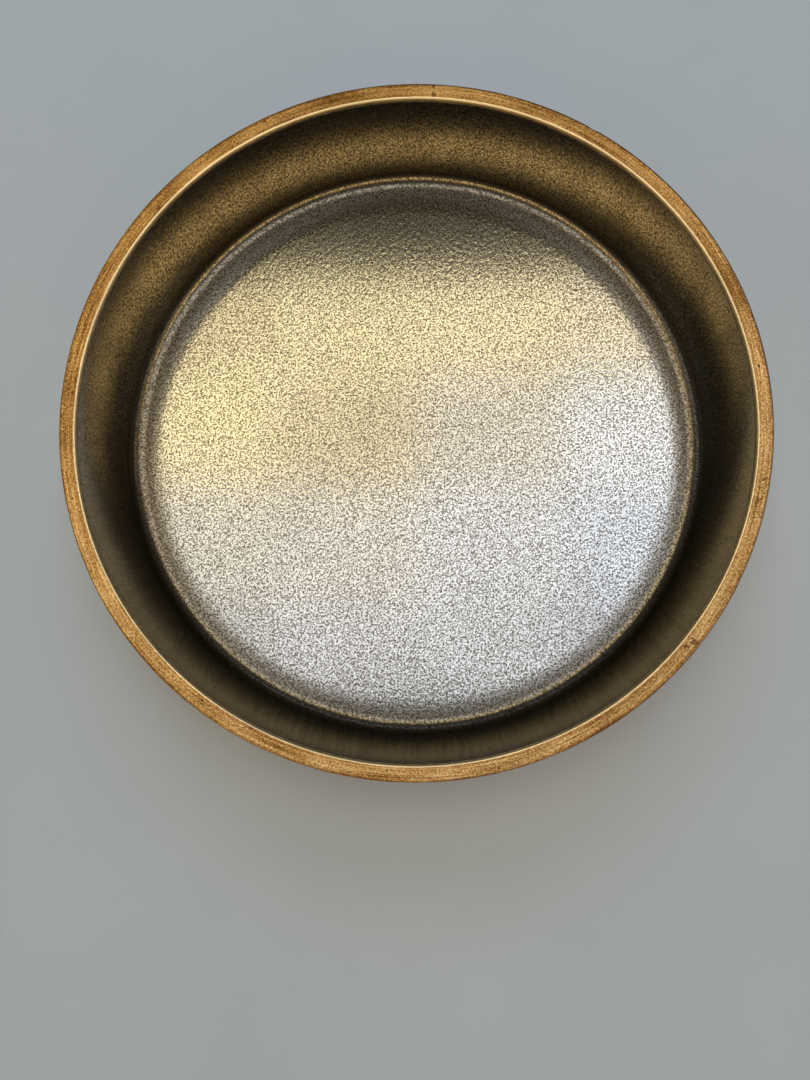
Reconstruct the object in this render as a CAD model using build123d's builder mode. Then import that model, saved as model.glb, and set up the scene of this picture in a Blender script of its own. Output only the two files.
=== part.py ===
from build123d import *
from math import cos, hypot, radians, sin, sqrt
import os

# Deep bowl paten, double walled. A stippled liner sits inside a plain spun
# shell, a turned brass rim ring bridges the two lips with a tongue between
# them, and a low foot ring is let into the base. Every joint is soldered.
# Frame: +Z up along the axis of revolution, origin at the centre of the
# plane the foot stands on. Millimetres.

os.makedirs("parts", exist_ok=True)

# overall
outer_r = 80.0          # outside radius over the rim
well_depth = 27.4       # outer edge of the rim down to the floor of the well
foot_h = 3.0            # clear height under the base
solder_t = 0.10         # thickness of a soldered joint

# sheet thicknesses
liner_t = 1.0
shell_t = 1.1
base_t = 1.2

# rim ring
rim_width = 3.7         # across the top face
rim_drop = 0.3          # the top face falls this much towards the well
rim_cap_t = 1.2         # outer edge of the top face down to the seat on the lips
rim_overhang = 0.3      # cap beyond the outside of the shell
rim_tongue_h = 2.6
rim_inner_round = 0.50
rim_outer_round = 0.40
rim_under_round = 0.25

# well
wall_bow_r = 85.0       # the wall is an arc in section, bowed outwards
wall_tilt = 0.3         # degrees it still leans out at the lip
cove_r = 3.5            # corner between wall and floor
heel_in_r = 5.2         # inside corner of the shell
heel_out_r = 6.3        # outside corner of the shell
liner_seat_r = 67.5     # how far the liner is soldered down

# foot ring
foot_outer_r = 58.0
foot_wall = 3.2
foot_groove = 0.4       # depth of its seat in the base
foot_round = 0.6
foot_fillet = 0.7       # leg of the solder fillet beside it

# levels
base_top_z = foot_h + base_t
liner_under_z = base_top_z + solder_t
floor_z = liner_under_z + liner_t
height = floor_z + well_depth
cap_z = height - rim_cap_t
lip_z = cap_z - solder_t
tongue_z = cap_z - rim_tongue_h

# radii at the lips, from the inside out
inner_r = outer_r - rim_width
liner_out_r = inner_r + liner_t
shell_out_r = outer_r - rim_overhang
shell_in_r = shell_out_r - shell_t
tongue_in_r = liner_out_r + solder_t
tongue_out_r = shell_in_r - solder_t
foot_inner_r = foot_outer_r - foot_wall

# every wall face is an arc about one centre in section, so the walls are parallel
bow_centre_r = inner_r - wall_bow_r * cos(radians(wall_tilt))
bow_centre_z = lip_z + wall_bow_r * sin(radians(wall_tilt))


def wall_r(lip_r, z):
    """Radius at height z of the wall face that has radius lip_r at the lips."""
    bow = hypot(lip_r - bow_centre_r, lip_z - bow_centre_z)
    return bow_centre_r + sqrt(bow**2 - (z - bow_centre_z) ** 2)


def wall_arc(lip_r, z_from, z_to):
    """That wall face in section, as the three points of an arc."""
    return [(wall_r(lip_r, z), z) for z in (z_from, (z_from + z_to) / 2, z_to)]


# Shell: spun in one piece, base and wall, with a groove turned for the foot.
with BuildPart() as outer_shell:
    with BuildSketch(Plane.XZ) as shell_section:
        with BuildLine():
            Polyline(
                (0, foot_h),
                (foot_inner_r - solder_t, foot_h),
                (foot_inner_r - solder_t, foot_h + foot_groove),
                (foot_outer_r + solder_t, foot_h + foot_groove),
                (foot_outer_r + solder_t, foot_h),
                (wall_r(shell_out_r, foot_h), foot_h),
            )
            ThreePointArc(*wall_arc(shell_out_r, foot_h, lip_z))
            Line((shell_out_r, lip_z), (shell_in_r, lip_z))
            ThreePointArc(*wall_arc(shell_in_r, lip_z, base_top_z))
            Polyline((wall_r(shell_in_r, base_top_z), base_top_z), (0, base_top_z), (0, foot_h))
        make_face()
        fillet(
            shell_section.vertices().sort_by_distance((wall_r(shell_out_r, foot_h), foot_h)).first,
            radius=heel_out_r,
        )
        fillet(
            shell_section.vertices().sort_by_distance((wall_r(shell_in_r, base_top_z), base_top_z)).first,
            radius=heel_in_r,
        )
    revolve(axis=Axis.Z)
outer_shell.part.label = "outer_shell"

# Liner: the bowl that is seen and used, a spun pan with a coved corner.
with BuildPart() as well_liner:
    with BuildSketch(Plane.XZ) as liner_section:
        with BuildLine():
            Line((0, liner_under_z), (wall_r(liner_out_r, liner_under_z), liner_under_z))
            ThreePointArc(*wall_arc(liner_out_r, liner_under_z, lip_z))
            Line((liner_out_r, lip_z), (inner_r, lip_z))
            ThreePointArc(*wall_arc(inner_r, lip_z, floor_z))
            Polyline((wall_r(inner_r, floor_z), floor_z), (0, floor_z), (0, liner_under_z))
        make_face()
        fillet(
            liner_section.vertices().sort_by_distance((wall_r(liner_out_r, liner_under_z), liner_under_z)).first,
            radius=cove_r + liner_t,
        )
        fillet(
            liner_section.vertices().sort_by_distance((wall_r(inner_r, floor_z), floor_z)).first,
            radius=cove_r,
        )
    revolve(axis=Axis.Z)
well_liner.part.label = "well_liner"

# Solder that beds the liner's floor on the base of the shell.
with BuildPart() as liner_solder:
    with BuildSketch(Plane.XY.offset(base_top_z)):
        Circle(liner_seat_r)
    extrude(amount=solder_t)
liner_solder.part.label = "liner_solder"

# Rim ring: a flat turned cap over both lips, with a tongue that spaces them.
with BuildPart() as rim_ring:
    with BuildSketch(Plane.XZ) as rim_section:
        with BuildLine():
            Polyline(
                (wall_r(tongue_in_r, cap_z), cap_z),
                (inner_r, cap_z),
                (inner_r, height - rim_drop),
                (outer_r, height),
                (outer_r, cap_z),
                (wall_r(tongue_out_r, cap_z), cap_z),
            )
            ThreePointArc(*wall_arc(tongue_out_r, cap_z, tongue_z))
            Line((wall_r(tongue_out_r, tongue_z), tongue_z), (wall_r(tongue_in_r, tongue_z), tongue_z))
            ThreePointArc(*wall_arc(tongue_in_r, tongue_z, cap_z))
        make_face()
        fillet(
            rim_section.vertices().sort_by_distance((inner_r, height - rim_drop)).first,
            radius=rim_inner_round,
        )
        fillet(
            rim_section.vertices().sort_by_distance((outer_r, height)).first,
            radius=rim_outer_round,
        )
        fillet(
            rim_section.vertices().sort_by_distance((outer_r, cap_z)).first,
            radius=rim_under_round,
        )
    revolve(axis=Axis.Z)
rim_ring.part.label = "rim_ring"

# Solder under the cap and round the tongue, in one piece as it flows.
with BuildPart() as rim_solder:
    with BuildSketch(Plane.XZ):
        with BuildLine():
            Polyline((liner_out_r, lip_z), (inner_r, lip_z), (inner_r, cap_z), (wall_r(tongue_in_r, cap_z), cap_z))
            ThreePointArc(*wall_arc(tongue_in_r, cap_z, tongue_z))
            Line((wall_r(tongue_in_r, tongue_z), tongue_z), (wall_r(tongue_out_r, tongue_z), tongue_z))
            ThreePointArc(*wall_arc(tongue_out_r, tongue_z, cap_z))
            Polyline((wall_r(tongue_out_r, cap_z), cap_z), (shell_out_r, cap_z), (shell_out_r, lip_z), (shell_in_r, lip_z))
            ThreePointArc(*wall_arc(shell_in_r, lip_z, tongue_z - solder_t))
            Line(
                (wall_r(shell_in_r, tongue_z - solder_t), tongue_z - solder_t),
                (wall_r(liner_out_r, tongue_z - solder_t), tongue_z - solder_t),
            )
            ThreePointArc(*wall_arc(liner_out_r, tongue_z - solder_t, lip_z))
        make_face()
    revolve(axis=Axis.Z)
rim_solder.part.label = "rim_solder"

# Foot: a plain turned ring let into the base, its standing edges eased.
with BuildPart() as foot_ring:
    with BuildSketch(Plane.XZ) as foot_section:
        with BuildLine():
            Polyline(
                (foot_inner_r, 0),
                (foot_outer_r, 0),
                (foot_outer_r, foot_h + foot_groove - solder_t),
                (foot_inner_r, foot_h + foot_groove - solder_t),
                close=True,
            )
        make_face()
        fillet(foot_section.vertices().sort_by_distance((foot_outer_r, 0)).first, radius=foot_round)
        fillet(foot_section.vertices().sort_by_distance((foot_inner_r, 0)).first, radius=foot_round)
    revolve(axis=Axis.Z)
foot_ring.part.label = "foot_ring"

# Solder over the foot in its groove, drawn out to a fillet on each side.
with BuildPart() as foot_solder:
    with BuildSketch(Plane.XZ):
        with BuildLine():
            Polyline(
                (foot_inner_r, foot_h - foot_fillet),
                (foot_inner_r, foot_h + foot_groove - solder_t),
                (foot_outer_r, foot_h + foot_groove - solder_t),
                (foot_outer_r, foot_h - foot_fillet),
                (foot_outer_r + foot_fillet, foot_h),
                (foot_outer_r + solder_t, foot_h),
                (foot_outer_r + solder_t, foot_h + foot_groove),
                (foot_inner_r - solder_t, foot_h + foot_groove),
                (foot_inner_r - solder_t, foot_h),
                (foot_inner_r - foot_fillet, foot_h),
                close=True,
            )
        make_face()
    revolve(axis=Axis.Z)
foot_solder.part.label = "foot_solder"

export_step(outer_shell.part, "parts/outer_shell.step")
export_step(well_liner.part, "parts/well_liner.step")
export_step(liner_solder.part, "parts/liner_solder.step")
export_step(rim_ring.part, "parts/rim_ring.step")
export_step(rim_solder.part, "parts/rim_solder.step")
export_step(foot_ring.part, "parts/foot_ring.step")
export_step(foot_solder.part, "parts/foot_solder.step")

cove_start_r = bow_centre_r + sqrt((wall_bow_r - cove_r) ** 2 - (floor_z + cove_r - bow_centre_z) ** 2)
print("height", round(height, 3), "floor", round(floor_z, 3), "lips", round(lip_z, 3), "flat floor radius", round(cove_start_r, 2))
for piece in (outer_shell, well_liner, liner_solder, rim_ring, rim_solder, foot_ring, foot_solder):
    print(piece.part.label, round(piece.part.volume), "mm3", "valid" if piece.part.is_valid else "NOT VALID")
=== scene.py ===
import math

import bpy
import numpy as np
from mathutils import Matrix, Vector


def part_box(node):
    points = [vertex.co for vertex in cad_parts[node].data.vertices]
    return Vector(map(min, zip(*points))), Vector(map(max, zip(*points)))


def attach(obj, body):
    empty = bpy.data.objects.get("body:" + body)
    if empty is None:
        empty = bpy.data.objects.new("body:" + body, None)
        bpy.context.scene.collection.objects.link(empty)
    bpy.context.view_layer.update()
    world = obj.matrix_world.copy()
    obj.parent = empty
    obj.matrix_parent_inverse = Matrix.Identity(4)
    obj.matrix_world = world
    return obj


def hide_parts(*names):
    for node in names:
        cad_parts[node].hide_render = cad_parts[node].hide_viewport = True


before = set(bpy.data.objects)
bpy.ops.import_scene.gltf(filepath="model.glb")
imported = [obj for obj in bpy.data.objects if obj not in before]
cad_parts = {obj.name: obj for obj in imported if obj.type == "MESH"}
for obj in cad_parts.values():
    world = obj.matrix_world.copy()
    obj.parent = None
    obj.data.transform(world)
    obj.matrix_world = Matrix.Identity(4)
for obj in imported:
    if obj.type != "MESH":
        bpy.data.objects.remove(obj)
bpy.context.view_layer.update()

MM = 0.001

# ---------------------------------------------------------------- sizes
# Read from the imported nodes, so that every piece goes where the CAD says.
rim_lo, rim_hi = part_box("rim_ring")
liner_lo, liner_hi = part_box("well_liner")
shell_lo, shell_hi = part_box("outer_shell")
foot_lo, foot_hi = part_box("foot_ring")

TOP = rim_hi.z                       # highest edge of the rim
OUT_R = 80.0 * MM - 0.00003          # just inside the CAD's outer radius
RIM_W = 3.7 * MM
LINER_T = 1.0 * MM
SHELL_T = 1.1 * MM
CAP_T = 1.2 * MM
SOLDER_T = 0.1 * MM
COVE_R = 3.5 * MM
BOW_R = 85.0 * MM
TILT = math.radians(0.3)
FLOOR_Z = liner_lo.z + LINER_T
LIP_Z = liner_hi.z
CAP_Z = LIP_Z + SOLDER_T
FOOT_H = shell_lo.z
BASE_TOP = FLOOR_Z - LINER_T - SOLDER_T
IN_R = 80.0 * MM - RIM_W
LINER_OUT = IN_R + LINER_T
SHELL_OUT = 80.0 * MM - 0.3 * MM
SHELL_IN = SHELL_OUT - SHELL_T
BOW_CR = IN_R - BOW_R * math.cos(TILT)
BOW_CZ = LIP_Z + BOW_R * math.sin(TILT)
FOOT_OUT = 58.0 * MM
FOOT_IN = FOOT_OUT - 3.2 * MM
# in section the flat floor turns up round a cove into the wall's bow
COVE_CZ = FLOOR_Z + COVE_R
COVE_CR = BOW_CR + math.sqrt((BOW_R - COVE_R) ** 2 - (COVE_CZ - BOW_CZ) ** 2)
FLAT_R = COVE_CR
MEET = math.atan2(COVE_CZ - BOW_CZ, COVE_CR - BOW_CR)


def wall_r(lip_r, z):
    bow = math.hypot(lip_r - BOW_CR, LIP_Z - BOW_CZ)
    return BOW_CR + math.sqrt(bow * bow - (z - BOW_CZ) ** 2)


# ---------------------------------------------------------------- relief fields
def field(shape, cell, low, high, seed):
    """A periodic random field with unit spread whose waves run from low to high, in cycles per metre."""
    rng = np.random.default_rng(seed)
    f = np.fft.rfft2(rng.standard_normal(shape))
    ky = np.fft.fftfreq(shape[0], cell)[:, None]
    kx = np.fft.rfftfreq(shape[1], cell)[None, :]
    k = np.hypot(kx, ky)
    gain = 1.0 / (1.0 + (low / np.maximum(k, 1e-9)) ** 6) / (1.0 + (k / high) ** 6)
    out = np.fft.irfft2(f * np.sqrt(gain), s=shape)
    return (out - out.mean()) / out.std()


def sample(grid, u, v):
    """grid at fractional row u and column v, wrapped, blended between its four neighbours."""
    n, m = grid.shape
    iu, iv = np.floor(u).astype(int), np.floor(v).astype(int)
    fu, fv = u - iu, v - iv
    a = grid[iu % n, iv % m] * (1 - fv) + grid[iu % n, (iv + 1) % m] * fv
    b = grid[(iu + 1) % n, iv % m] * (1 - fv) + grid[(iu + 1) % n, (iv + 1) % m] * fv
    return a * (1 - fu) + b * fu


CELL = 0.16 * MM
FLOOR_FIELD = field((1024, 1024), CELL, 420.0, 1350.0, 11)
FLOOR_SWELL = field((256, 256), 0.64 * MM, 8.0, 40.0, 12)
WALL_N = 2880
WALL_CELL = 2 * math.pi * 75 * MM / WALL_N
WALL_FIELD = field((360, WALL_N), WALL_CELL, 600.0, 1500.0, 13)


def floor_relief(x, y):
    return sample(FLOOR_FIELD, y / CELL + 512, x / CELL + 512)


def wall_relief(theta, s):
    return sample(WALL_FIELD, s / WALL_CELL, theta / (2 * math.pi) * WALL_N)


# ---------------------------------------------------------------- mesh building
def make(name, verts, faces, smooth=True):
    me = bpy.data.meshes.new(name)
    verts = np.asarray(verts, dtype=np.float32)
    me.vertices.add(len(verts))
    me.vertices.foreach_set("co", verts.ravel())
    sizes = np.array([len(f) for f in faces], dtype=np.int32)
    loops = np.fromiter((i for f in faces for i in f), dtype=np.int32, count=int(sizes.sum()))
    me.loops.add(len(loops))
    me.loops.foreach_set("vertex_index", loops)
    me.polygons.add(len(faces))
    starts = np.concatenate([[0], np.cumsum(sizes)[:-1]]).astype(np.int32)
    me.polygons.foreach_set("loop_start", starts)
    me.update(calc_edges=True)
    me.validate()
    me.polygons.foreach_set("use_smooth", np.full(len(me.polygons), smooth, dtype=bool))
    ob = bpy.data.objects.new(name, me)
    bpy.context.scene.collection.objects.link(ob)
    return ob


def arc(cx, cz, r, a0, a1, n):
    """Points of an arc in section, angles in degrees from +r towards +z."""
    return [
        (cx + r * math.cos(math.radians(a0 + (a1 - a0) * i / n)), cz + r * math.sin(math.radians(a0 + (a1 - a0) * i / n)))
        for i in range(n + 1)
    ]


def between(p, q, n):
    """Points from p to q without p."""
    return [(p[0] + (q[0] - p[0]) * i / n, p[1] + (q[1] - p[1]) * i / n) for i in range(1, n + 1)]


def turned(name, section, seg, wobble=None):
    """A closed ring of revolution. section runs round the profile once, anticlockwise seen with r right and z up."""
    n = len(section)
    t = np.arange(seg) * 2 * math.pi / seg
    r = np.array([p[0] for p in section])
    z = np.array([p[1] for p in section])
    rr = np.repeat(r[:, None], seg, 1)
    zz = np.repeat(z[:, None], seg, 1)
    if wobble is not None:
        rr, zz = wobble(rr, zz, np.repeat(t[None, :], n, 0))
    verts = np.stack([rr * np.cos(t), rr * np.sin(t), zz], -1).reshape(-1, 3)
    faces = []
    for i in range(n):
        a, b = i * seg, ((i + 1) % n) * seg
        for j in range(seg):
            k = (j + 1) % seg
            faces.append((a + j, a + k, b + k, b + j))
    return make(name, verts, faces)


def spun(name, section, seg, wobble=None):
    """A closed cup of revolution: section runs from the axis, round the profile, back to the axis."""
    n = len(section)
    t = np.arange(seg) * 2 * math.pi / seg
    inner = section[1:-1]
    r = np.array([p[0] for p in inner])
    z = np.array([p[1] for p in inner])
    rr = np.repeat(r[:, None], seg, 1)
    zz = np.repeat(z[:, None], seg, 1)
    if wobble is not None:
        rr, zz = wobble(rr, zz, np.repeat(t[None, :], len(inner), 0))
    verts = np.stack([rr * np.cos(t), rr * np.sin(t), zz], -1).reshape(-1, 3)
    m = len(inner)
    first, last = len(verts), len(verts) + 1
    verts = np.concatenate([verts, [[0, 0, section[0][1]], [0, 0, section[-1][1]]]])
    faces = []
    for i in range(m - 1):
        a, b = i * seg, (i + 1) * seg
        for j in range(seg):
            k = (j + 1) % seg
            faces.append((a + j, a + k, b + k, b + j))
    top = (m - 1) * seg
    for j in range(seg):
        k = (j + 1) % seg
        faces.append((first, k, j))
        faces.append((top + j, top + k, last))
    return make(name, verts, faces)


def disc_grid(n):
    """A disc of unit radius as n x n quads, with 4n evenly spaced points on its edge. Gives points, quads and the edge's points in order."""
    a = np.linspace(-1, 1, n + 1)
    u, v = np.meshgrid(a, a)
    big = np.abs(u) > np.abs(v)
    with np.errstate(divide="ignore", invalid="ignore"):
        r = np.where(big, u, v)
        phi = np.where(big, math.pi / 4 * (v / u), math.pi / 2 - math.pi / 4 * (u / v))
    phi = np.where((u == 0) & (v == 0), 0.0, phi)
    pts = np.stack([r * np.cos(phi), r * np.sin(phi)], -1).reshape(-1, 2)
    idx = np.arange((n + 1) ** 2).reshape(n + 1, n + 1)
    quads = np.stack([idx[:-1, :-1], idx[:-1, 1:], idx[1:, 1:], idx[1:, :-1]], -1).reshape(-1, 4)
    edge = np.concatenate([idx[0, :-1], idx[:-1, -1], idx[-1, :0:-1], idx[:0:-1, 0]])
    return pts, quads, edge


def set_attribute(ob, name, values):
    at = ob.data.attributes.new(name, "FLOAT", "POINT")
    at.data.foreach_set("value", np.asarray(values, dtype=np.float32))


# ---------------------------------------------------------------- the liner
FLOOR_AMP = 0.0060 * MM      # spread of the stipple's height on the floor
WALL_AMP = 0.0020 * MM
GRID = 344


def build_liner():
    # section of the seen face from the flat floor outwards, and the normals into the well
    pts, nrm = [], []
    for i in range(1, 23):
        a = -math.pi / 2 + (MEET + math.pi / 2) * i / 22
        pts.append((COVE_CR + COVE_R * math.cos(a), COVE_CZ + COVE_R * math.sin(a)))
        nrm.append((-math.cos(a), -math.sin(a)))
    a_top = math.atan2(LIP_Z - BOW_CZ, IN_R - BOW_CR)
    for i in range(1, 65):
        a = MEET + (a_top - MEET) * i / 64
        pts.append((BOW_CR + BOW_R * math.cos(a), BOW_CZ + BOW_R * math.sin(a)))
        nrm.append((-math.cos(a), -math.sin(a)))
    pts, nrm = np.array(pts), np.array(nrm)
    s = np.concatenate([[0], np.cumsum(np.hypot(*np.diff(np.vstack([[FLAT_R, FLOOR_Z], pts]), axis=0).T))])[1:]

    disc, quads, edge = disc_grid(GRID)
    seg = len(edge)
    x, y = disc[:, 0] * FLAT_R, disc[:, 1] * FLAT_R
    g = floor_relief(x, y)
    floor_v = np.stack([x, y, FLOOR_Z + FLOOR_AMP * g], -1)
    ang = np.arctan2(disc[edge, 1], disc[edge, 0])
    # the floor's stipple fades into the wall's finer one up the cove
    rows = len(pts)
    A = np.repeat(ang[None, :], rows, 0)
    S = np.repeat(s[:, None], seg, 1)
    fr = FLAT_R + S
    gf = floor_relief(fr * np.cos(A), fr * np.sin(A))
    gw = wall_relief(A, S)
    mix = np.clip((S - 0.8 * MM) / (4.5 * MM), 0, 1)
    mix = mix * mix * (3 - 2 * mix)
    keep = np.clip((s[-1] - S) / (0.8 * MM), 0, 1)
    h = (FLOOR_AMP * gf * (1 - mix) + WALL_AMP * gw * mix) * keep
    R = pts[:, 0][:, None] + nrm[:, 0][:, None] * h
    Z = pts[:, 1][:, None] + nrm[:, 1][:, None] * h
    wall_v = np.stack([R * np.cos(A), R * np.sin(A), Z], -1).reshape(-1, 3)
    relief_w = (gf * (1 - mix) + gw * mix).reshape(-1)

    # the hidden outside, with the same number of points round it
    back = [(LINER_OUT, LIP_Z)]
    for i in range(1, 7):
        z = LIP_Z + (COVE_CZ - LIP_Z) * i / 6
        back.append((wall_r(LINER_OUT, z), z))
    for i in range(1, 7):
        a = MEET + (-math.pi / 2 - MEET) * i / 6
        back.append((COVE_CR + (COVE_R + LINER_T) * math.cos(a), COVE_CZ + (COVE_R + LINER_T) * math.sin(a)))
    back.append((FLAT_R * 0.5, FLOOR_Z - LINER_T))
    back = np.array(back)
    AB = np.repeat(ang[None, :], len(back), 0)
    back_v = np.stack([back[:, 0][:, None] * np.cos(AB), back[:, 0][:, None] * np.sin(AB), np.repeat(back[:, 1][:, None], seg, 1)], -1).reshape(-1, 3)

    nf = len(floor_v)
    verts = np.concatenate([floor_v, wall_v, back_v, [[0, 0, FLOOR_Z - LINER_T]]])
    rings = [edge] + [nf + i * seg + np.arange(seg) for i in range(rows)] + [nf + rows * seg + i * seg + np.arange(seg) for i in range(len(back))]
    faces = [tuple(q) for q in quads.tolist()]
    k = np.arange(seg)
    k1 = (k + 1) % seg
    for a, b in zip(rings[:-1], rings[1:]):
        faces += [tuple(q) for q in np.stack([a[k], b[k], b[k1], a[k1]], -1).tolist()]
    last, centre = rings[-1], len(verts) - 1
    faces += [(int(last[(i + 1) % seg]), int(last[i]), centre) for i in range(seg)]
    ob = make("well_liner_seen", verts, faces)
    relief = np.concatenate([g, relief_w, np.zeros(len(back_v) + 1)])
    set_attribute(ob, "relief", relief)
    zone = np.concatenate([np.zeros(nf), mix.reshape(-1), np.ones(len(back_v) + 1)])
    set_attribute(ob, "wall_part", zone)
    return ob


# ---------------------------------------------------------------- node helpers
class Nodes:
    """A short way to write a shader's nodes."""

    def __init__(self, name):
        self.mat = bpy.data.materials.new(name)
        self.mat.use_nodes = True
        self.t = self.mat.node_tree
        for n in list(self.t.nodes):
            self.t.nodes.remove(n)
        self.out = self.t.nodes.new("ShaderNodeOutputMaterial")

    def add(self, kind, ins=None, **props):
        n = self.t.nodes.new(kind)
        for k, v in props.items():
            setattr(n, k, v)
        for k, v in (ins or {}).items():
            self.set(n.inputs[k], v)
        return n

    def set(self, sock, v):
        if isinstance(v, bpy.types.NodeSocket):
            self.t.links.new(v, sock)
        else:
            sock.default_value = v

    def math(self, op, a, b=0.0, c=0.0, clamp=False):
        n = self.add("ShaderNodeMath", operation=op, use_clamp=clamp)
        for s, v in zip(n.inputs, (a, b, c)):
            self.set(s, v)
        return n.outputs[0]

    def noise(self, vec, scale, detail=2.0, rough=0.5, lac=2.0, dist=0.0):
        n = self.add("ShaderNodeTexNoise", {"Vector": vec, "Scale": scale, "Detail": detail, "Roughness": rough, "Lacunarity": lac, "Distortion": dist})
        return n.outputs["Fac"]

    def ramp(self, fac, stops, mode="LINEAR"):
        n = self.add("ShaderNodeValToRGB", {"Fac": fac})
        cr = n.color_ramp
        cr.interpolation = mode
        while len(cr.elements) < len(stops):
            cr.elements.new(0.5)
        for e, (p, c) in zip(cr.elements, stops):
            e.position = p
            e.color = (*c, 1.0) if len(c) == 3 else c
        return n.outputs["Color"]

    def step(self, v, lo, hi, to_lo=0.0, to_hi=1.0):
        n = self.add("ShaderNodeMapRange", {"Value": v, "From Min": lo, "From Max": hi, "To Min": to_lo, "To Max": to_hi}, interpolation_type="SMOOTHSTEP", clamp=True)
        return n.outputs[0]

    def mix(self, fac, a, b, blend="MIX"):
        n = self.add("ShaderNodeMix", data_type="RGBA", blend_type=blend)
        self.set(n.inputs[0], fac)
        self.set(n.inputs[6], (*a, 1.0) if isinstance(a, tuple) and len(a) == 3 else a)
        self.set(n.inputs[7], (*b, 1.0) if isinstance(b, tuple) and len(b) == 3 else b)
        return n.outputs[2]

    def coords(self):
        """Object position, radius from the axis, height, and a vector of radius and direction that has no seam."""
        co = self.add("ShaderNodeTexCoord").outputs["Object"]
        sep = self.add("ShaderNodeSeparateXYZ", {"Vector": co})
        x, y, z = sep.outputs
        r = self.math("SQRT", self.math("ADD", self.math("MULTIPLY", x, x), self.math("MULTIPLY", y, y)))
        inv = self.math("DIVIDE", 1.0, self.math("MAXIMUM", r, 1e-5))
        c, s = self.math("MULTIPLY", x, inv), self.math("MULTIPLY", y, inv)
        return co, r, z, c, s

    def around(self, c, s, along, turns, fine):
        """A vector that varies slowly round the axis and quickly along: turned lines."""
        return self.add(
            "ShaderNodeCombineXYZ",
            {"X": self.math("MULTIPLY", c, turns), "Y": self.math("MULTIPLY", s, turns), "Z": self.math("MULTIPLY", along, fine)},
        ).outputs[0]

    def bump(self, height, strength, distance, normal=None):
        ins = {"Height": height, "Strength": strength, "Distance": distance}
        if normal is not None:
            ins["Normal"] = normal
        return self.add("ShaderNodeBump", ins).outputs[0]

    def metal(self, color, rough, normal=None, anis=0.0, tangent=None, metallic=1.0):
        p = self.add("ShaderNodeBsdfPrincipled")
        self.set(p.inputs["Base Color"], color if isinstance(color, bpy.types.NodeSocket) else (*color, 1.0))
        self.set(p.inputs["Roughness"], rough)
        self.set(p.inputs["Metallic"], metallic)
        if normal is not None:
            self.set(p.inputs["Normal"], normal)
        if anis:
            p.inputs["Anisotropic"].default_value = anis
            tg = self.add("ShaderNodeTangent", direction_type="RADIAL", axis="Z")
            self.set(p.inputs["Tangent"], tg.outputs[0])
        self.t.links.new(p.outputs[0], self.out.inputs["Surface"])
        return p


# ---------------------------------------------------------------- materials
def liner_material():
    m = Nodes("well_liner_bronze")
    co, r, z, c, s = m.coords()
    relief = m.add("ShaderNodeAttribute", attribute_name="relief").outputs["Fac"]
    part = m.add("ShaderNodeAttribute", attribute_name="wall_part").outputs["Fac"]
    fine = m.noise(co, 2300.0, 1.0, 0.5)
    grain = m.math("ADD", m.math("MULTIPLY", relief, 0.22), m.math("MULTIPLY", m.math("SUBTRACT", fine, 0.5), 5.5))
    # rubbed peaks are pale, the hollows keep their brown plating
    peak = m.step(grain, -1.0, 1.0)
    swell = m.noise(co, 22.0, 3.0, 0.55)
    pale = m.mix(m.step(swell, 0.35, 0.68), (0.51, 0.486, 0.436), (0.56, 0.534, 0.478))
    floor_col = m.mix(peak, (0.095, 0.080, 0.060), pale)
    wall_peak = m.step(m.noise(co, 2200.0, 1.0, 0.5), 0.34, 0.66)
    wall_col = m.mix(wall_peak, (0.060, 0.050, 0.035), (0.235, 0.207, 0.157))
    col = m.mix(part, floor_col, wall_col)
    # painted shade: the floor and cove turn dark brown in the corner against the wall, where the wall shades them
    edge = m.math("MULTIPLY", m.step(r, 63.8 * MM, 69.0 * MM), m.step(z, FLOOR_Z + 6.0 * MM, FLOOR_Z + 2.0 * MM))
    painted_corner_shade = m.mix(peak, (0.050, 0.037, 0.023), (0.130, 0.100, 0.064))
    col = m.mix(m.math("MULTIPLY", edge, 0.8), col, painted_corner_shade)
    rough = m.math("ADD", m.math("MULTIPLY", m.math("SUBTRACT", 1.0, peak), 0.06), m.math("MULTIPLY", part, 0.05))
    rough = m.math("ADD", m.math("ADD", rough, m.math("MULTIPLY", edge, 0.13)), 0.105)
    nrm = m.bump(fine, 0.5, 0.00002)
    m.metal(col, rough, nrm)
    return m.mat


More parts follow.
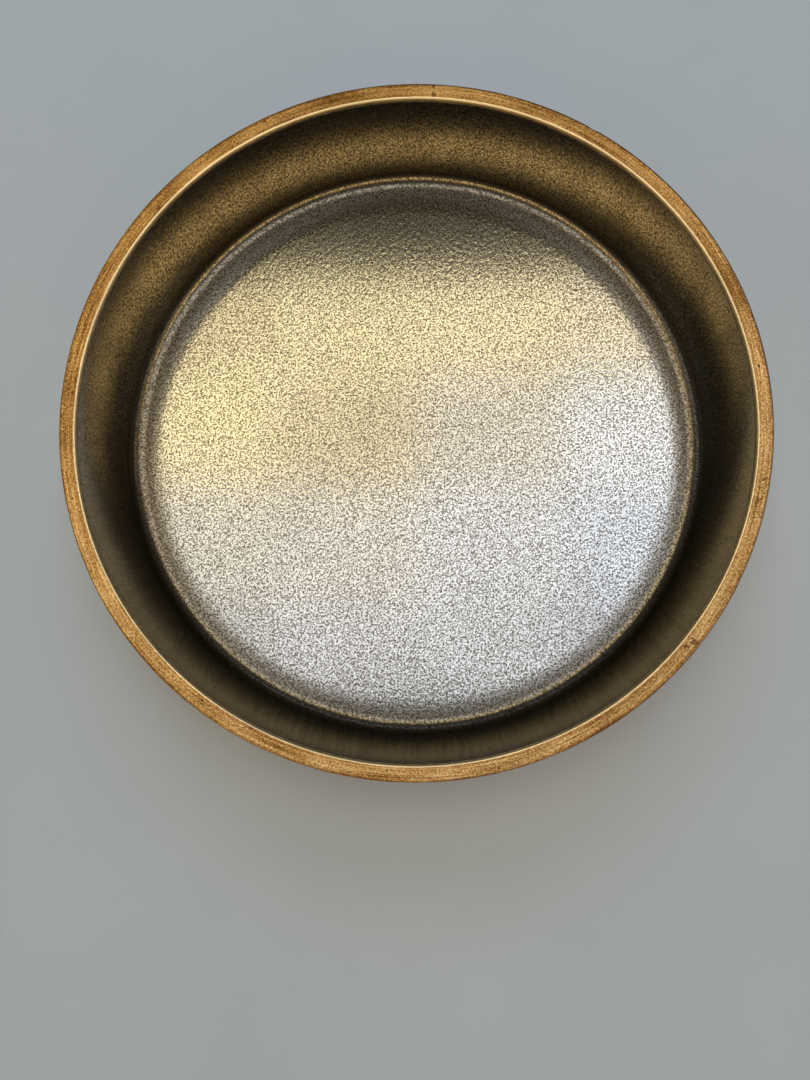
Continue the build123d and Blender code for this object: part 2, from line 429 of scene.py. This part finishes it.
def rim_material():
    m = Nodes("rim_brass")
    co, r, z, c, s = m.coords()
    lines = m.noise(m.around(c, s, r, 3.0, 3400.0), 1.0, 2.0, 0.6)
    broad = m.noise(m.around(c, s, r, 5.0, 620.0), 1.0, 3.0, 0.65)
    mottle = m.noise(co, 2400.0, 2.0, 0.6)
    cloud = m.noise(co, 60.0, 4.0, 0.6)
    blot = m.noise(co, 85.0, 3.0, 0.6)
    tone = m.math("ADD", m.math("MULTIPLY", lines, 0.34), m.math("ADD", m.math("MULTIPLY", mottle, 0.44), m.math("MULTIPLY", broad, 0.22)))
    tone = m.math("ADD", tone, m.math("MULTIPLY", m.math("SUBTRACT", cloud, 0.5), 0.22))
    col = m.ramp(tone, [(0.38, (0.100, 0.046, 0.012)), (0.46, (0.245, 0.124, 0.036)), (0.53, (0.390, 0.225, 0.080)), (0.62, (0.56, 0.375, 0.165))])
    # tarnish: brown specks, thickest towards the outer edge
    outer = m.step(r, 77.8 * MM, 80.0 * MM)
    speck = m.noise(co, 900.0, 2.0, 0.7)
    patch = m.step(blot, 0.50, 0.66)
    spot = m.step(m.math("ADD", speck, m.math("MULTIPLY", m.math("MULTIPLY", outer, patch), 0.11)), 0.695, 0.735)
    col = m.mix(m.math("MULTIPLY", spot, 0.85), col, (0.060, 0.024, 0.009))
    pit = m.step(m.noise(co, 330.0, 2.0, 0.5), 0.70, 0.74)
    col = m.mix(m.math("MULTIPLY", pit, 0.8), col, (0.085, 0.032, 0.012))
    edge_brown = m.math("MULTIPLY", m.step(r, 79.0 * MM, 79.8 * MM), m.step(blot, 0.36, 0.60))
    col = m.mix(m.math("MULTIPLY", edge_brown, 0.60), col, (0.17, 0.066, 0.020))
    # painted highlight: the eased inner edge gets a pale colour for the bright line along it, over some rubbed wear,
    # with a dull line beside it
    painted_edge_highlight = m.math("MULTIPLY", m.step(r, 76.85 * MM, 76.70 * MM), m.step(z, TOP - 0.00095, TOP - 0.00080))
    beside = m.math("MULTIPLY", m.step(r, 76.75 * MM, 76.95 * MM), m.step(r, 77.35 * MM, 77.10 * MM))
    col = m.mix(m.math("MULTIPLY", beside, 0.25), col, (0.26, 0.12, 0.04))
    col = m.mix(m.math("MULTIPLY", painted_edge_highlight, 0.75), col, (0.78, 0.66, 0.42))
    rough = m.math("ADD", 0.34, m.math("MULTIPLY", m.math("SUBTRACT", 0.62, tone), 0.5))
    rough = m.math("ADD", rough, m.math("MULTIPLY", spot, 0.25))
    nrm = m.bump(lines, 0.5, 0.00003)
    nrm = m.bump(mottle, 0.45, 0.00003, nrm)
    m.metal(col, rough, nrm, anis=0.35)
    return m.mat


def shell_material():
    m = Nodes("shell_brass")
    co, r, z, c, s = m.coords()
    along = m.math("ADD", r, z)
    lines = m.noise(m.around(c, s, along, 1.6, 1500.0), 1.0, 4.0, 0.6)
    band = m.noise(m.around(c, s, along, 0.5, 260.0), 1.0, 3.0, 0.55)
    cloud = m.noise(co, 34.0, 4.0, 0.6)
    mottle = m.noise(co, 210.0, 4.0, 0.6)
    tone = m.math("ADD", m.math("MULTIPLY", lines, 0.30), m.math("ADD", m.math("MULTIPLY", cloud, 0.42), m.math("MULTIPLY", mottle, 0.28)))
    col = m.ramp(tone, [(0.33, (0.36, 0.20, 0.065)), (0.48, (0.55, 0.335, 0.125)), (0.60, (0.66, 0.43, 0.17)), (0.75, (0.76, 0.54, 0.25))])
    speck = m.step(m.noise(co, 480.0, 3.0, 0.7), 0.70, 0.75)
    col = m.mix(m.math("MULTIPLY", speck, 0.7), col, (0.12, 0.055, 0.022))
    rough = m.math("ADD", 0.26, m.math("MULTIPLY", cloud, 0.22))
    nrm = m.bump(lines, 0.25, 0.00004)
    nrm = m.bump(band, 0.20, 0.0002, nrm)
    m.metal(col, rough, nrm, anis=0.5)
    return m.mat


def foot_material():
    m = Nodes("foot_brass")
    co, r, z, c, s = m.coords()
    lines = m.noise(m.around(c, s, m.math("ADD", r, z), 2.0, 2400.0), 1.0, 3.0, 0.6)
    mottle = m.noise(co, 240.0, 4.0, 0.6)
    tone = m.math("ADD", m.math("MULTIPLY", lines, 0.5), m.math("MULTIPLY", mottle, 0.5))
    col = m.ramp(tone, [(0.35, (0.38, 0.21, 0.07)), (0.5, (0.60, 0.37, 0.14)), (0.68, (0.74, 0.50, 0.22))])
    worn = m.step(z, 0.0007, 0.0002)
    col = m.mix(m.math("MULTIPLY", worn, 0.55), col, (0.86, 0.68, 0.38))
    rough = m.math("SUBTRACT", 0.40, m.math("MULTIPLY", worn, 0.10))
    m.metal(col, rough, m.bump(lines, 0.3, 0.00003), anis=0.4)
    return m.mat


def solder_material():
    m = Nodes("silver_solder")
    co, r, z, c, s = m.coords()
    flow = m.noise(co, 160.0, 4.0, 0.6)
    col = m.ramp(flow, [(0.35, (0.28, 0.22, 0.13)), (0.55, (0.46, 0.40, 0.28)), (0.72, (0.58, 0.53, 0.42))])
    m.metal(col, m.math("ADD", 0.36, m.math("MULTIPLY", flow, 0.25)), m.bump(flow, 0.4, 0.0001))
    return m.mat


def stage_material():
    m = Nodes("stage_grey")
    co, r, z, c, s = m.coords()
    cloud = m.noise(co, 14.0, 4.0, 0.6)
    grit = m.noise(co, 700.0, 3.0, 0.6)
    col = m.ramp(cloud, [(0.3, (0.535, 0.595, 0.665)), (0.7, (0.565, 0.625, 0.695))])
    p = m.add("ShaderNodeBsdfPrincipled", {"Roughness": 0.75})
    m.set(p.inputs["Base Color"], col)
    m.set(p.inputs["Normal"], m.bump(grit, 0.12, 0.0002))
    m.t.links.new(p.outputs[0], m.out.inputs["Surface"])
    return m.mat


# ---------------------------------------------------------------- pieces
liner = build_liner()
liner.data.materials.append(liner_material())
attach(liner, "root")
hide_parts("well_liner")

# rim ring, with a tongue between the two lips
in_round = 0.50 * MM
drop = 0.3 * MM
top_r, out_round, under_round = 0.40 * MM, 0.40 * MM, 0.25 * MM
tongue_z = CAP_Z - 2.6 * MM
tongue_in, tongue_out = LINER_OUT + SOLDER_T, SHELL_IN - SOLDER_T
slope = drop / (OUT_R - IN_R)
sec = [(IN_R, CAP_Z)]
sec = [(wall_r(tongue_in, tongue_z), tongue_z)]
sec += between(sec[-1], (wall_r(tongue_out, tongue_z), tongue_z), 1)
sec += between(sec[-1], (wall_r(tongue_out, CAP_Z), CAP_Z), 2)
sec += between(sec[-1], (OUT_R - under_round, CAP_Z), 1)
sec += arc(OUT_R - under_round, CAP_Z + under_round, under_round, -90, 0, 5)[1:]
a_top = 90 + math.degrees(math.atan(slope))
out_c = (OUT_R - out_round, TOP - out_round - slope * out_round * 0.5)
sec += arc(out_c[0], out_c[1], out_round, 0, a_top, 8)
in_c = (IN_R + in_round, TOP - drop - in_round + slope * in_round * 0.5)
sec += between(sec[-1], arc(in_c[0], in_c[1], in_round, a_top, 180, 8)[0], 10)
sec += arc(in_c[0], in_c[1], in_round, a_top, 180, 8)[1:]
sec += between(sec[-1], (IN_R, CAP_Z), 2)
sec += between(sec[-1], (wall_r(tongue_in, CAP_Z), CAP_Z), 1)
sec += between(sec[-1], (wall_r(tongue_in, tongue_z), tongue_z), 2)[:-1]

RIM_SWELL = field((8, 2048), 0.25 * MM, 20.0, 120.0, 21)


def rim_wobble(rr, zz, tt):
    """The turned ring is a few hundredths uneven, and its outer edge has two small nicks."""
    sw = sample(RIM_SWELL, np.full_like(tt, 3.0), tt / (2 * math.pi) * 2048)
    edge = np.clip((rr - (OUT_R - 1.2 * MM)) / (1.2 * MM), 0, 1)
    rr = rr - np.abs(sw) * 0.012 * MM * edge
    for at, wide, deep in ((math.radians(58.5), 0.9 * MM, 0.22 * MM), (math.radians(196.0), 0.6 * MM, 0.12 * MM), (math.radians(321.0), 0.7 * MM, 0.10 * MM)):
        off = np.abs((tt - at + math.pi) % (2 * math.pi) - math.pi) * OUT_R
        rr = rr - deep * np.exp(-((off / wide) ** 2)) * edge * np.clip((zz - CAP_Z) / (0.8 * MM), 0, 1)
    return rr, zz


rim = turned("rim_ring_seen", sec, 1440, rim_wobble)
rim.data.materials.append(rim_material())
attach(rim, "root")
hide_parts("rim_ring")

# outer shell
heel_in, heel_out = 5.2 * MM, 6.3 * MM


def heel(lip_r, base_z, rad, n):
    """The corner between a level base and a bowed wall: its points from the base up."""
    bow = math.hypot(lip_r - BOW_CR, LIP_Z - BOW_CZ)
    cr = BOW_CR + math.sqrt((bow - rad) ** 2 - (base_z + rad - BOW_CZ) ** 2)
    cz = base_z + rad
    end = math.degrees(math.atan2(cz - BOW_CZ, cr - BOW_CR))
    return arc(cr, cz, rad, -90, end, n)


sec = [(0, FOOT_H)]
groove_in, groove_out, groove_z = FOOT_IN - SOLDER_T, FOOT_OUT + SOLDER_T, FOOT_H + 0.4 * MM
sec += [(1.2 * MM, FOOT_H)]
sec += between(sec[-1], (groove_in, FOOT_H), 14)
sec += [(groove_in, groove_z), (groove_out, groove_z), (groove_out, FOOT_H)]
hl = heel(SHELL_OUT, FOOT_H, heel_out, 18)
sec += between(sec[-1], hl[0], 5)
sec += hl[1:]
n = 34
z0 = sec[-1][1]
sec += [(wall_r(SHELL_OUT, z0 + (LIP_Z - z0) * i / n), z0 + (LIP_Z - z0) * i / n) for i in range(1, n + 1)]
sec += [(SHELL_IN, LIP_Z)]
hl = heel(SHELL_IN, BASE_TOP, heel_in, 8)
z0 = hl[-1][1]
sec += [(wall_r(SHELL_IN, LIP_Z + (z0 - LIP_Z) * i / 6), LIP_Z + (z0 - LIP_Z) * i / 6) for i in range(1, 6)]
sec += hl[::-1]
sec += between(sec[-1], (1.2 * MM, BASE_TOP), 3)
sec += [(0, BASE_TOP)]

SHELL_SWELL = field((256, 512), 0.94 * MM, 6.0, 60.0, 31)


def shell_wobble(rr, zz, tt):
    """A spun wall carries faint waves from the tool."""
    sw = sample(SHELL_SWELL, zz / (0.94 * MM), tt / (2 * math.pi) * 512)
    ring = np.sin(zz / (1.9 * MM) * 2 * math.pi) * 0.006 * MM
    wall = np.clip((rr - 66 * MM) / (6 * MM), 0, 1) * np.clip((LIP_Z - zz) / (1 * MM), 0, 1)
    return rr - (0.008 * MM + np.abs(sw) * 0.010 * MM + ring) * wall, zz


shell = spun("outer_shell_seen", sec, 1080, shell_wobble)
shell.data.materials.append(shell_material())
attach(shell, "root")
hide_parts("outer_shell")

# foot ring
fr = 0.6 * MM
foot_top = FOOT_H + 0.4 * MM - SOLDER_T
sec = arc(FOOT_IN + fr, fr, fr, 180, 270, 7)
sec += arc(FOOT_OUT - fr, fr, fr, 270, 360, 7)
sec += between(sec[-1], (FOOT_OUT, foot_top), 4)
sec += between(sec[-1], (FOOT_IN, foot_top), 2)
sec += between(sec[-1], (FOOT_IN, fr), 4)[:-1]
foot = turned("foot_ring_seen", sec, 1080)
foot.data.materials.append(foot_material())
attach(foot, "root")
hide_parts("foot_ring")

# solder: the CAD's own solids
solder = solder_material()
for name in ("rim_solder", "liner_solder", "foot_solder"):
    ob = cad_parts[name]
    ob.data.materials.clear()
    ob.data.materials.append(solder)

# ---------------------------------------------------------------- stage
bpy.ops.mesh.primitive_circle_add(vertices=128, radius=2.5, fill_type="NGON", location=(0, 0, -0.00002))
stage = bpy.context.object
stage.name = "stage_floor"
stage.data.materials.append(stage_material())

# ---------------------------------------------------------------- camera
R0 = 80.0 * MM
cam_data = bpy.data.cameras.new("camera")
cam_data.sensor_width = 36.0
cam_data.lens = 811.0 / 1080.0 * 36.0
cam_data.clip_start = 0.01
cam_data.clip_end = 20.0
cam = bpy.data.objects.new("camera", cam_data)
bpy.context.scene.collection.objects.link(cam)
look = Matrix(((0.99978138, 0.00118675, -0.02087542), (-0.00118675, -0.99355788, -0.11331956), (-0.02087542, 0.11331956, -0.99333926)))
turn = look.transposed() @ Matrix(((1, 0, 0), (0, -1, 0), (0, 0, -1)))
place = -(look.transposed() @ Vector((0.02335834, -0.34777503, 2.2669309))) * R0
cam.matrix_world = Matrix.Translation(place + Vector((0, 0, TOP))) @ turn.to_4x4()
bpy.context.scene.camera = cam

# ---------------------------------------------------------------- light
world = bpy.data.worlds.new("studio")
bpy.context.scene.world = world
world.use_nodes = True
bg = world.node_tree.nodes["Background"]
bg.inputs["Color"].default_value = (1.0, 0.98, 0.92, 1)
bg.inputs["Strength"].default_value = 0.10


def softbox(name, at, size, radiance, aim=None):
    """A flat soft panel, its brightness given as radiance. It faces down, or towards aim."""
    d = bpy.data.lights.new(name, "AREA")
    d.shape = "RECTANGLE"
    d.size, d.size_y = size
    top = max(max(radiance), 1e-6)
    d.color = [v / top for v in radiance]
    d.energy = math.pi * size[0] * size[1] * top
    o = bpy.data.objects.new(name, d)
    bpy.context.scene.collection.objects.link(o)
    o.location = at
    if aim is not None:
        o.rotation_mode = "QUATERNION"
        o.rotation_quaternion = (Vector(aim) - Vector(at)).to_track_quat("-Z", "Y")
    o.visible_camera = False
    return o


# an overhead bank of panels, warm at the far left and cool at the near right
BANK_X = (-0.45, -0.22, 0.0, 0.22, 0.45)
BANK_Y = (-0.15, 0.0, 0.17, 0.34, 0.505)
BANK = (
    ((1.40, 1.45, 1.55), (1.75, 1.85, 2.05), (1.65, 1.78, 2.02), (1.30, 1.42, 1.70)),
    ((2.00, 1.96, 1.82), (1.98, 1.94, 1.88), (1.85, 1.95, 2.15), (1.75, 1.95, 2.35)),
    ((2.60, 2.30, 1.40), (1.98, 1.74, 1.15), (1.98, 1.90, 1.72), (2.25, 2.38, 2.60)),
    ((1.95, 1.68, 1.02), (2.40, 2.14, 1.32), (2.45, 2.16, 1.40), (2.20, 1.98, 1.46)),
)
for j, row in enumerate(BANK):
    for i, radiance in enumerate(row):
        x0, x1, y0, y1 = BANK_X[i], BANK_X[i + 1], BANK_Y[j], BANK_Y[j + 1]
        softbox(f"bank_{j}{i}", ((x0 + x1) / 2, (y0 + y1) / 2, 1.0), (x1 - x0, y1 - y0), radiance)

# a low line of warm panels round the front, climbing to the bank's ends at both sides: azimuth, height angle
LINE = (
    (-190, 58), (-175, 54.5), (-160, 50), (-146, 46), (-133, 42.5), (-120, 40), (-106, 38.5),
    (-92, 37.5), (-78, 37.5), (-64, 38), (-50, 39), (-36, 41), (-22, 44), (-8, 47.5), (7, 51.5), (22, 55),
)
for k, (az, el) in enumerate(LINE):
    a, e = math.radians(az), math.radians(el)
    at = (1.6 * math.cos(a) * math.cos(e), 1.6 * math.sin(a) * math.cos(e), 1.6 * math.sin(e))
    side = min(1.0, max(0.0, (abs(az + 84) - 62) / 40))
    glow = tuple(v * (1 - 0.6 * side) for v in (5.40, 4.15, 2.15))
    # seen in the metal only, so that the shadow on the table stays on the near side
    softbox(f"line_{k}", at, (0.33, 0.23), glow, aim=(0, 0, 0.02)).visible_diffuse = False

# broad dim panels standing at the sides and behind
WALLS = (
    (0, 24, 1.20, 0.70, (0.52, 0.53, 0.51)),
    (180, 24, 1.20, 0.70, (0.58, 0.63, 0.66)),
    (90, 26, 1.60, 0.60, (0.20, 0.27, 0.36)),
)
for k, (az, el, wide, high, radiance) in enumerate(WALLS):
    a, e = math.radians(az), math.radians(el)
    at = (1.6 * math.cos(a) * math.cos(e), 1.6 * math.sin(a) * math.cos(e), 1.6 * math.sin(e))
    softbox(f"wall_{k}", at, (wide, high), radiance, aim=(0, 0, 0.02))

# the table's own light: cool from behind, so that the near side falls in a soft brown shadow, and a little warm in front
far_fill = softbox("far_fill", (0, 1.15, 1.10), (1.20, 0.60), (1.75, 2.00, 2.25), aim=(0, 0, 0))
far_fill.visible_glossy = False
near_fill = softbox("near_fill", (0, -0.75, 0.55), (0.90, 0.50), (0.85, 0.60, 0.14), aim=(0, -0.45, 0))
near_fill.visible_glossy = False

bpy.context.scene.view_settings.view_transform = "Standard"
bpy.context.scene.view_settings.look = "None"
bpy.context.scene.view_settings.exposure = 0.0
